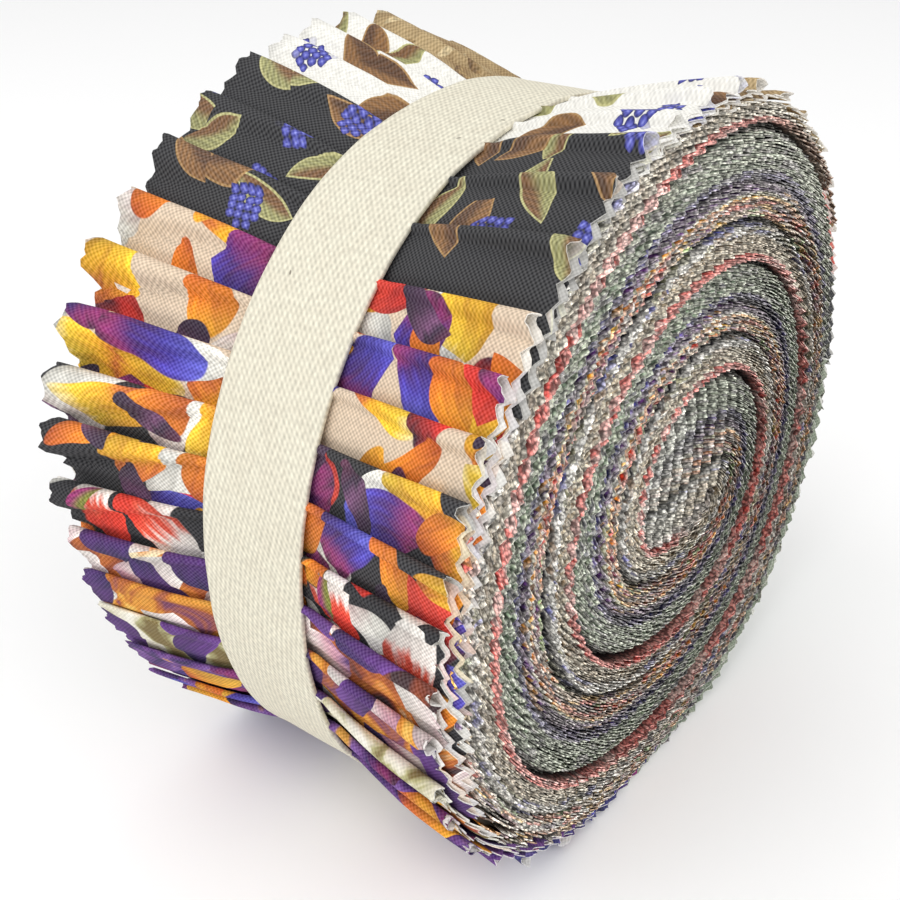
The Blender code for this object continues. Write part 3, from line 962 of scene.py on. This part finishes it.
def tape_band():
    """The tape: a hoop with thicker selvedges, pulled snug over the folded ends."""
    angles = np.arange(TAPE_COLUMNS) * 360.0 / TAPE_COLUMNS
    a = np.radians(angles)
    points, uv = [], []
    for place, height in TAPE_PROFILE:
        drift = TAPE_DRIFT * wander(angles, TAPE_DRIFT_LENGTH, 41) * (1 if place > 0 else FAR_DRIFT_SHARE)
        x = TAPE_MIDDLE + place * TAPE_WIDTH + drift * np.sin(a)
        bumps = TAPE_BUMP * wander(angles, TAPE_BUMP_LENGTH, 42)
        bumps = bumps + TAPE_RIPPLE * ripple(angles / TAPE_RIPPLE_LENGTH, place * 4.0, 43)
        inner = (TAPE_INNER + bulge(angles, WAIST_BULGES)) * outline(angles)
        radius = inner + height * TAPE_THICKNESS + bumps
        points.append(np.stack([x, radius * np.cos(a), radius * np.sin(a) + AXIS_HEIGHT], 1))
        uv.append(np.stack([np.full(TAPE_COLUMNS, place * TAPE_WIDTH), a * TAPE_INNER], 1))
    count = len(TAPE_PROFILE)
    faces = hoop_faces([(r, (r + 1) % count) for r in range(count)], TAPE_COLUMNS)
    mesh = cloth_mesh("tape_band", np.concatenate(points), faces, uv=np.concatenate(uv))
    made = piece("tape_band", mesh, "cotton_tape", tape_cotton())
    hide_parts("band")
    return made


# Prints


def add(tree, kind, *inputs, more=None, stops=(), **settings):
    """Adds a shader node with its settings, and its inputs linked or set: the first ones, and more by key.

    An input may be a node, which stands for its first output. Stops are a ramp's places and hex colours.
    """
    node = tree.nodes.new("ShaderNode" + kind)
    for key, value in settings.items():
        setattr(node, key, value)
    for key, value in (*enumerate(inputs), *(more or {}).items()):
        if isinstance(value, bpy.types.Node):
            value = value.outputs[0]
        if isinstance(value, bpy.types.NodeSocket):
            tree.links.new(value, node.inputs[key])
        else:
            node.inputs[key].default_value = value
    for index, (position, code) in enumerate(stops):
        elements = node.color_ramp.elements
        element = elements[index] if index < len(elements) else elements.new(1.0)
        element.position = position
        element.color = linear(code)
    return node


def scattered(tree, place, seed, spacing, evenness=0.75):
    """Spots scattered over the cloth: each point's place from its nearest spot, turned at random, and two
    random numbers that are the spot's own."""
    moved = add(tree, "VectorMath", place, (seed * 17.3, seed * 9.7, 0.0), operation="ADD")
    spots = add(tree, "TexVoronoi", moved, more={"Scale": 1.0 / spacing, "Randomness": evenness},
                voronoi_dimensions="2D")
    from_spot = add(tree, "VectorMath", moved, spots.outputs["Position"], operation="SUBTRACT")
    chance = add(tree, "SeparateColor", spots.outputs["Color"])
    angle = add(tree, "Math", chance, math.tau, operation="MULTIPLY")
    turned = add(tree, "VectorRotate", from_spot, more={"Angle": angle}, rotation_type="Z_AXIS")
    return turned, chance.outputs[1], chance.outputs[2]


def warped(tree, place, seed, amount, size):
    """The place pushed about by smooth noise, so that what is printed there looks drawn by hand."""
    moved = add(tree, "VectorMath", place, (seed * 13.0, seed * 29.0, 0.0), operation="ADD")
    cloud = add(tree, "TexNoise", moved, more={"Scale": 1.0 / size, "Detail": 0.0}, noise_dimensions="2D")
    push = add(tree, "VectorMath", cloud.outputs["Color"], (0.5, 0.5, 0.5), operation="SUBTRACT")
    return add(tree, "VectorMath", push, (amount, amount, 0.0), place, operation="MULTIPLY_ADD")


def marbled(tree, place, seed, size, stops):
    """Cloudy bands of several colours."""
    moved = add(tree, "VectorMath", place, (seed * 23.0, seed * 41.0, 0.0), operation="ADD")
    cloud = add(tree, "TexNoise", moved,
                more={"Scale": 1.0 / size, "Detail": 3.0, "Roughness": 0.5, "Distortion": 1.2},
                noise_dimensions="2D")
    spread = add(tree, "MapRange", cloud.outputs["Fac"], 0.3, 0.7)
    return add(tree, "ValToRGB", spread, stops=stops)


def printed_over(tree, below, motif, mask, chance, share):
    """A motif printed over a colour where the mask is 1, on this share of the spots."""
    shown = add(tree, "Math", chance, share, operation="LESS_THAN")
    mask = add(tree, "Math", mask, shown, operation="MULTIPLY")
    return add(tree, "Mix", mask, more={6: below, 7: motif}, data_type="RGBA").outputs[2]


BERRY_REACH = 3.1  # of a cluster, from its middle
BERRY_SPACING = 1.12
BERRY_STOPS = ((0.0, "9196DE"), (0.2, "5E62C4"), (0.42, "3A3C92"), (0.62, "1E1F4E"))


def berries(tree, place, below, seed, spacing, share):
    """Clusters of round berries printed over a colour."""
    turned, chance, other = scattered(tree, place, seed, spacing)
    shift = add(tree, "Math", other, 40.0, operation="MULTIPLY")
    offset = add(tree, "CombineXYZ", shift, shift)
    moved = add(tree, "VectorMath", turned, offset, operation="ADD")
    fruit = add(tree, "TexVoronoi", moved, more={"Scale": 1.0 / BERRY_SPACING, "Randomness": 0.35},
                voronoi_dimensions="2D")
    centre = add(tree, "VectorMath", fruit.outputs["Position"], offset, operation="SUBTRACT")
    shaped = add(tree, "VectorMath", centre, (1.0, 1.35, 1.0), operation="MULTIPLY")
    apart = add(tree, "VectorMath", shaped, operation="LENGTH").outputs["Value"]
    within = add(tree, "MapRange", apart, BERRY_REACH + 0.05, BERRY_REACH - 0.05,
                 interpolation_type="SMOOTHSTEP")
    single = add(tree, "MapRange", fruit.outputs["Distance"], 0.66, 0.56, interpolation_type="SMOOTHSTEP")
    mask = add(tree, "Math", within, single, operation="MULTIPLY")
    skin = add(tree, "ValToRGB", fruit.outputs["Distance"], stops=BERRY_STOPS)
    return printed_over(tree, below, skin, mask, chance, share)


def leaves(tree, place, below, seed, spacing, share, length, width, upper, lower, rim=None):
    """Pointed leaves in two tones, with faint veins, printed over a colour."""
    turned, chance, _ = scattered(tree, warped(tree, place, seed, 1.2, 6.0), seed, spacing)
    parts = add(tree, "SeparateXYZ", turned)
    bow = add(tree, "Math", parts, parts, operation="MULTIPLY")
    across = add(tree, "Math", bow, 0.035 * width / 2.0, parts.outputs[1], operation="MULTIPLY_ADD")
    half = add(tree, "Math", bow, -width / length**2, width, operation="MULTIPLY_ADD")
    off = add(tree, "Math", across, operation="ABSOLUTE")
    inside = add(tree, "Math", half, off, operation="SUBTRACT")
    tone = add(tree, "MapRange", across, -0.7, 0.7, interpolation_type="SMOOTHSTEP")
    blade = add(tree, "Mix", tone, more={6: linear(lower), 7: linear(upper)}, data_type="RGBA").outputs[2]
    slope = add(tree, "Math", off, -1.3, parts, operation="MULTIPLY_ADD")
    vein = add(tree, "Math", slope, 5.0, operation="MULTIPLY")
    vein = add(tree, "Math", vein, operation="SINE")
    vein = add(tree, "Math", vein, 0.2, 0.95, operation="MULTIPLY_ADD")
    blade = add(tree, "VectorMath", blade, more={"Scale": vein}, operation="SCALE")
    if rim:
        edge = add(tree, "MapRange", inside, 0.42, 0.28, interpolation_type="SMOOTHSTEP")
        blade = add(tree, "Mix", edge, more={6: blade, 7: linear(rim)}, data_type="RGBA").outputs[2]
    mask = add(tree, "MapRange", inside, 0.0, 0.14, interpolation_type="SMOOTHSTEP")
    return printed_over(tree, below, blade, mask, chance, share)


def petals(tree, place, below, seed, spacing, share, length, width, stops, rim=None):
    """Long rounded shapes, brushed from end to end in changing colours, printed over a colour."""
    turned, chance, _ = scattered(tree, warped(tree, place, seed, 4.0, 9.0), seed, spacing, 0.85)
    scaled = add(tree, "VectorMath", turned, (1.0 / length, 1.0 / width, 1.0), operation="MULTIPLY")
    parts = add(tree, "SeparateXYZ", scaled)
    bow = add(tree, "Math", parts, parts, operation="MULTIPLY")
    bent = add(tree, "Math", bow, 0.5, parts.outputs[1], operation="MULTIPLY_ADD")
    shape = add(tree, "CombineXYZ", parts, bent)
    apart = add(tree, "VectorMath", shape, operation="LENGTH").outputs["Value"]
    stroke = add(tree, "VectorMath", turned, (0.15, 0.8, 1.0), operation="MULTIPLY")
    brushed = add(tree, "TexNoise", stroke, more={"Scale": 1.0, "Detail": 2.0}, noise_dimensions="2D")
    brushed = brushed.outputs["Fac"]
    soft = add(tree, "Math", brushed, 0.4, 0.3, operation="MULTIPLY_ADD")
    along = add(tree, "Math", parts, 0.5, soft, operation="MULTIPLY_ADD")
    body = add(tree, "ValToRGB", along, stops=stops)
    tone = add(tree, "MapRange", brushed, 0.3, 0.7, 1.12, 0.8)
    rounded = add(tree, "MapRange", bent, -1.0, 1.0, 1.15, 0.6)
    tone = add(tree, "Math", tone, rounded, operation="MULTIPLY")
    body = add(tree, "VectorMath", body, more={"Scale": tone}, operation="SCALE")
    if rim:
        edge = add(tree, "MapRange", apart, 0.84, 0.9, interpolation_type="SMOOTHSTEP")
        body = add(tree, "Mix", edge, more={6: body, 7: linear(rim)}, data_type="RGBA").outputs[2]
    mask = add(tree, "MapRange", apart, 1.0, 0.95, interpolation_type="SMOOTHSTEP")
    return printed_over(tree, below, body, mask, chance, share)


RED_STOPS = ((0.0, "F0472C"), (0.5, "DE2A1C"), (0.8, "8E1C22"), (1.0, "3E1330"))
YELLOW_STOPS = ((0.0, "F8EBB8"), (0.25, "F9CF2E"), (0.6, "F4AE14"), (0.75, "DD7A22"), (1.0, "B84A1B"))
ORANGE_STOPS = ((0.0, "F9B01F"), (0.5, "F0850F"), (1.0, "C8560F"))
VIOLET_STOPS = ((0.0, "6A6BE0"), (0.3, "4A3AB0"), (0.55, "4A1E78"), (0.8, "9A2A72"), (1.0, "5A1E4A"))
WHITE_STOPS = ((0.0, "F4F2EA"), (0.6, "EDEAE0"), (1.0, "D8BCB8"))
SCARLET_STOPS = ((0.0, "F2EFE8"), (0.4, "F0E4DC"), (0.52, "F0583A"), (0.62, "EE361C"), (1.0, "D92A18"))
PLUM_STOPS = ((0.0, "2E1A38"), (0.4, "4A2A4A"), (0.6, "7A4A74"), (0.75, "3A2140"), (1.0, "6A2B50"))
PINK_STOPS = ((0.0, "F3F0E8"), (0.45, "EBDCD8"), (0.75, "D9A0B0"), (1.0, "6A3A86"))
GOLD_STOPS = ((0.0, "F6C23A"), (0.5, "F0A31E"), (0.8, "D9631F"), (1.0, "7A2A4A"))
PURPLE_STOPS = ((0.0, "7A4AA0"), (0.5, "5A2A7C"), (1.0, "2A1C58"))
RUST_WASH = ((0.0, "3D2328"), (0.35, "8A3A1A"), (0.6, "B9601F"), (0.8, "DD8A2E"), (1.0, "EBD9B0"))
GOLD_WASH = ((0.0, "7A3A5A"), (0.3, "B9651C"), (0.6, "E0962A"), (1.0, "F2C35C"))
CREAM_WASH = ((0.0, "7C6A3A"), (0.3, "B3AE7C"), (0.5, "E2DCC4"), (1.0, "F3F0E4"))
PURPLE_WASH = ((0.0, "2B1D4A"), (0.35, "45246A"), (0.6, "6A3A86"), (0.85, "7E55A0"), (1.0, "D0953A"))
NAVY_WASH = ((0.0, "1E2148"), (0.5, "3D3C80"), (1.0, "6E5AA0"))


# A motif's numbers here are its seed, its spacing, its share of the spots, its length and its width
def berry_print(tree, place, ground):
    """A hedgerow print: leaves and clusters of blue-violet berries on a plain ground."""
    colour = leaves(tree, place, linear(ground), 2.0, 11.5, 0.6, 4.8, 2.1, "9C9A66", "7A5532", "B9B57C")
    colour = leaves(tree, place, colour, 5.0, 13.0, 0.5, 5.2, 2.4, "8A6238", "5E3F27", "A98350")
    return berries(tree, place, colour, 8.0, 11.0, 0.55)


def fruit_print(tree, place, ground):
    """A bright print: ripe fruit, husks and petals on a plain ground."""
    colour = petals(tree, place, linear(ground), 1.0, 13.0, 0.45, 7.5, 3.6, WHITE_STOPS)
    colour = petals(tree, place, colour, 4.0, 12.5, 0.62, 7.0, 3.6, YELLOW_STOPS)
    colour = petals(tree, place, colour, 7.0, 14.5, 0.5, 6.5, 3.6, RED_STOPS)
    colour = petals(tree, place, colour, 11.0, 14.5, 0.5, 6.5, 3.8, VIOLET_STOPS)
    colour = petals(tree, place, colour, 13.0, 12.5, 0.5, 5.0, 2.6, ORANGE_STOPS)
    return petals(tree, place, colour, 17.0, 13.5, 0.5, 4.6, 1.9, PLUM_STOPS)


def petal_print(tree, place, ground):
    """Large petals that turn from white to scarlet on a plain ground."""
    colour = petals(tree, place, linear(ground), 3.0, 12.0, 0.7, 6.5, 2.6, WHITE_STOPS)
    colour = petals(tree, place, colour, 6.0, 12.5, 0.8, 8.0, 3.6, SCARLET_STOPS)
    colour = petals(tree, place, colour, 9.0, 13.0, 0.6, 4.4, 2.4, ORANGE_STOPS, rim="6B4A1E")
    return leaves(tree, place, colour, 12.0, 12.0, 0.5, 3.8, 1.3, "9A2C6E", "83852F")


def wash_print(tree, place, stops, seed, *strokes):
    """A hand-painted wash with large brushed petals."""
    colour = marbled(tree, place, seed, 9.0, stops)
    for index, (stroke_stops, share) in enumerate(strokes):
        colour = petals(tree, place, colour, seed + 3.0 * index, 11.5, share, 8.0, 3.2, stroke_stops)
    return colour


def sprig_print(tree, place, ground, dark, light):
    """Small tonal sprigs."""
    clouds = marbled(tree, place, 2.0, 7.0, ((0.0, dark), (1.0, light)))
    colour = add(tree, "Mix", 0.5, more={6: linear(ground), 7: clouds}, data_type="RGBA").outputs[2]
    colour = leaves(tree, place, colour, 3.0, 4.2, 0.7, 2.3, 0.75, dark, ground)
    return leaves(tree, place, colour, 6.0, 4.8, 0.6, 2.0, 0.6, light, light)


PRINTS = {
    # design: the function that prints it, and what it is given
    "coral_tonal": (sprig_print, "EC7F74", "D9584F", "F4AFA2"),
    "tan_sprig": (sprig_print, "A98C5C", "6E5232", "C9B48A"),
    "white_berry": (berry_print, "EFEDE6"),
    "black_berry": (berry_print, "1B1B1F"),
    "beige_fruit": (fruit_print, "D9C3AA"),
    "black_fruit": (fruit_print, "1C1B20"),
    "black_petal": (petal_print, "1C1B20"),
    "rust_wash": (wash_print, RUST_WASH, 1.0, (PINK_STOPS, 0.75), (PURPLE_STOPS, 0.4)),
    "gold_wash": (wash_print, GOLD_WASH, 2.0, (PINK_STOPS, 0.5), (PURPLE_STOPS, 0.5)),
    "cream_wash": (wash_print, CREAM_WASH, 3.0, (PURPLE_STOPS, 0.7), (GOLD_STOPS, 0.25)),
    "purple_wash": (wash_print, PURPLE_WASH, 4.0, (VIOLET_STOPS, 0.5), (GOLD_STOPS, 0.35)),
    "navy_wash": (wash_print, NAVY_WASH, 5.0, (VIOLET_STOPS, 0.4)),
    "sage_sprig": (sprig_print, "8F9B87", "6F7C6B", "B4BAA8"),
    "charcoal_sprig": (sprig_print, "3A3B3E", "1F1F22", "55565A"),
}


# Cloth


def bare_cloth(name, roughness):
    """A new cloth material, its node tree and its shader."""
    made = bpy.data.materials.new(name)
    made.use_nodes = True
    shader = made.node_tree.nodes["Principled BSDF"]
    shader.inputs["Roughness"].default_value = roughness
    shader.inputs["IOR"].default_value = 1.5
    shader.inputs["Specular IOR Level"].default_value = 0.25
    return made, made.node_tree, shader


def woven(tree, shader, place, colour, contrast, glint, long=0.32, short=0.32, slant=0.0):
    """Lays a weave over a colour, lighter where a thread comes up: long and short are its thread spacings."""
    parts = add(tree, "SeparateXYZ", place)
    skewed = add(tree, "Math", parts.outputs[1], slant, parts, operation="MULTIPLY_ADD")
    warp = add(tree, "Math", skewed, math.pi / short, operation="MULTIPLY")
    warp = add(tree, "Math", warp, operation="SINE")
    weft = add(tree, "Math", parts.outputs[1], math.pi / long, operation="MULTIPLY")
    weft = add(tree, "Math", weft, operation="SINE")
    raised = add(tree, "Math", warp, weft, operation="MULTIPLY")
    slub = add(tree, "TexNoise", place, more={"Scale": 1.4, "Detail": 1.0}, noise_dimensions="2D")
    uneven = add(tree, "MapRange", slub.outputs["Fac"], 0.3, 0.7, 0.82, 0.96)
    factor = add(tree, "Math", raised, contrast, uneven, operation="MULTIPLY_ADD")
    toned = add(tree, "VectorMath", colour, more={"Scale": factor}, operation="SCALE")
    # painted highlight: a glint added to the colour where a thread comes up
    up = add(tree, "Math", raised, glint / 2, glint / 2, operation="MULTIPLY_ADD")
    lit = add(tree, "CombineXYZ", up, up, up)
    final = add(tree, "VectorMath", toned, lit, operation="ADD")
    tree.links.new(final.outputs[0], shader.inputs["Base Color"])
    bump = add(tree, "Bump", more={"Strength": 0.5, "Distance": 0.05 * MM, "Height": raised})
    tree.links.new(bump.outputs["Normal"], shader.inputs["Normal"])


def printed(tree, place, name):
    """A design's print at a place on the cloth."""
    printer, *given = PRINTS[name]
    return printer(tree, place, *given)


# Roller-printed quilting cotton in a plain weave: matt, with the print's full colour on the threads' tops and
# darker dots between threads
def printed_cotton(name):
    made, tree, shader = bare_cloth(name, 0.85)
    place = add(tree, "UVMap", uv_map="cloth")
    contrast = 0.09 if name in PALE_CLOTHS else 0.24
    glint = 0.075 if name in DARK_CLOTHS else 0.055
    woven(tree, shader, place, printed(tree, place, name), contrast, glint)
    return made


# The same cotton's unprinted side: the dye shows through pale, over off-white threads
def cotton_reverse(name):
    made, tree, shader = bare_cloth(name + "_reverse", 0.9)
    place = add(tree, "UVMap", uv_map="cloth")
    share = 0.55 if name in DARK_CLOTHS else 0.75
    pale = add(tree, "Mix", share, more={6: printed(tree, place, name), 7: linear("F8F6F0")},
               data_type="RGBA")
    woven(tree, shader, place, pale.outputs[2], 0.1, 0.06)
    return made


TUFT_SIZE = 0.52
EXPOSURE_STOPS = ((0.0, "1E1E1E"), (0.5, "4A4A4A"), (0.68, "868686"), (0.8, "C0C0C0"), (0.9, "EAEAEA"),
                  (1.0, "FFFFFF"))


# Leaf after leaf of cut cotton seen edge on: each thread's end catches the light alone, between dark gaps
def pinked_edges():
    made, tree, shader = bare_cloth("pinked_edges", 0.95)
    layer = add(tree, "VertexColor", layer_name="print")
    # painted shade between the teeth: the share of light kept in the colour's alpha is turned to grey and
    # laid over the colour
    lit = add(tree, "ValToRGB", layer.outputs["Alpha"], stops=EXPOSURE_STOPS)
    place = add(tree, "UVMap", uv_map="cloth")
    stretched = add(tree, "VectorMath", place, (1.0 / THREAD_PITCH, 1.0, 1.0), operation="MULTIPLY")
    threads = add(tree, "TexVoronoi", stretched, more={"Scale": 1.0, "Randomness": 0.8},
                  voronoi_dimensions="2D")
    chance = add(tree, "SeparateColor", threads.outputs["Color"])
    tone = add(tree, "MapRange", chance, more={3: 0.75, 4: 1.5})
    solid = add(tree, "TexCoord").outputs["Object"]
    tufts = add(tree, "TexVoronoi", solid, more={"Scale": 1.0 / (TUFT_SIZE * MM), "Randomness": 1.0})
    # painted highlight and shade: each tuft of threads is lighter in its middle and darker towards its edges
    painted_tuft_shading = add(tree, "MapRange", tufts.outputs["Distance"], 0.1, 0.72, 1.98, 0.34)
    tone = add(tree, "Math", tone, painted_tuft_shading, operation="MULTIPLY")
    frayed = add(tree, "MapRange", chance.outputs[1], 0.7, 1.0, more={4: 0.35})
    # Each leaf's cut top and the wall just below it turn paler: partly the cut threads' own colour, partly a
    # painted highlight along the tips
    across = add(tree, "SeparateXYZ", place).outputs[1]
    under = add(tree, "Math", across, operation="FRACT")
    cut = add(tree, "MapRange", under, 0.12, 0.17, 0.25, 0.0)
    frayed = add(tree, "Math", frayed, cut, operation="MAXIMUM")
    mixed = add(tree, "Mix", frayed, more={6: layer.outputs["Color"], 7: linear("D8D4CA")}, data_type="RGBA")
    toned = add(tree, "VectorMath", mixed.outputs[2], more={"Scale": tone}, operation="SCALE")
    shaded = add(tree, "VectorMath", toned, lit, operation="MULTIPLY")
    tree.links.new(shaded.outputs[0], shader.inputs["Base Color"])
    return made


# Natural cotton tape, unbleached: a close slanting weave of thick soft yarns, with a few specks of seed
def tape_cotton():
    made, tree, shader = bare_cloth("tape_cotton", 0.9)
    place = add(tree, "UVMap", uv_map="cloth")
    turned, chance, _ = scattered(tree, place, 3.0, 6.5, 1.0)
    scaled = add(tree, "VectorMath", turned, (1.0, 2.4, 1.0), operation="MULTIPLY")
    apart = add(tree, "VectorMath", scaled, operation="LENGTH").outputs["Value"]
    speck = add(tree, "MapRange", apart, 0.45, 0.2, interpolation_type="SMOOTHSTEP")
    base = marbled(tree, place, 5.0, 4.0, ((0.0, "DFD9C6"), (1.0, "E4DFCC")))
    colour = printed_over(tree, base, linear("8C8578"), speck, chance, 0.1)
    woven(tree, shader, place, colour, 0.17, 0.0, long=0.8, short=0.42, slant=-0.35)
    return made


# Cloth packed tight, deep between the turns, where no light falls
def packed_cotton():
    made, _, shader = bare_cloth("packed_cotton", 0.95)
    # painted shade: one dull grey-brown stands for the packed cloth in the shade between the turns
    shader.inputs["Base Color"].default_value = linear("746B60")
    return made


CLOTHS = {name: printed_cotton(name) for name in PRINTS}
REVERSES = {name: cotton_reverse(name) for name in PRINTS}
EDGE_CLOTH = pinked_edges()


# Stage


# A white, even floor, on which the roll's soft shadow lies
def floor():
    mesh = bpy.data.meshes.new("floor")
    half = FLOOR_HALF
    corners = [(-half, -half, 0), (half, -half, 0), (half, half, 0), (-half, half, 0)]
    mesh.from_pydata(corners, [], [(0, 1, 2, 3)])
    made = bpy.data.objects.new("floor", mesh)
    bpy.context.scene.collection.objects.link(made)
    surface, _, shader = bare_cloth("pale floor", 0.7)
    shader.inputs["Base Color"].default_value = linear("FBFBFB")
    mesh.materials.append(surface)


def directions(azimuth, elevation):
    """Back, right and up for a view from this azimuth and elevation."""
    a, e = math.radians(azimuth), math.radians(elevation)
    back = np.array([math.sin(a) * math.cos(e), -math.cos(a) * math.cos(e), math.sin(e)])
    right = np.cross((0.0, 0.0, 1.0), back)
    right /= np.linalg.norm(right)
    return back, right, np.cross(back, right)


def aimed(name, data, place, back):
    """A camera or light at a place in metres, looking against back."""
    made = bpy.data.objects.new(name, data)
    made.location = tuple(place)
    made.rotation_euler = Vector(tuple(-back)).to_track_quat("-Z", "Y").to_euler()
    bpy.context.scene.collection.objects.link(made)
    return made


def camera():
    back, right, up = directions(CAMERA_AZIMUTH, CAMERA_ELEVATION)
    centre = np.array([0.0, 0.0, AXIS_HEIGHT])
    place = centre + back * CAMERA_DISTANCE + right * CAMERA_RIGHT + up * CAMERA_UP
    data = bpy.data.cameras.new("camera")
    data.lens = CAMERA_LENS
    data.sensor_width = CAMERA_SENSOR
    data.clip_start = CAMERA_CLIP_START
    bpy.context.scene.camera = aimed("camera", data, place * MM, back)


def lights():
    for name, azimuth, elevation, distance, size, power in LIGHTS:
        back = directions(azimuth, elevation)[0]
        data = bpy.data.lights.new(name, "AREA")
        data.energy = power
        data.size = size
        aimed(name, data, back * distance + np.array((0.0, 0.0, AXIS_HEIGHT * MM)), back)
    world = bpy.data.worlds.new("world")
    world.use_nodes = True
    sky = world.node_tree.nodes["Background"]
    sky.inputs["Color"].default_value = (1.0, 1.0, 1.0, 1.0)
    sky.inputs["Strength"].default_value = DAYLIGHT
    bpy.context.scene.world = world
    bpy.context.scene.view_settings.view_transform = "Standard"


def main():
    camera()
    lights()
    floor()
    packed_inside()
    for strip in range(len(NOSES)):
        folded_end(strip)
    half = len(NOSES) // 2
    for side, word in ((1, "near"), (-1, "far")):
        pinked_turns(f"{word}_turns_inner", range(half), side)
        pinked_turns(f"{word}_turns_outer", range(half, len(NOSES)), side)
    tape_band()


main()
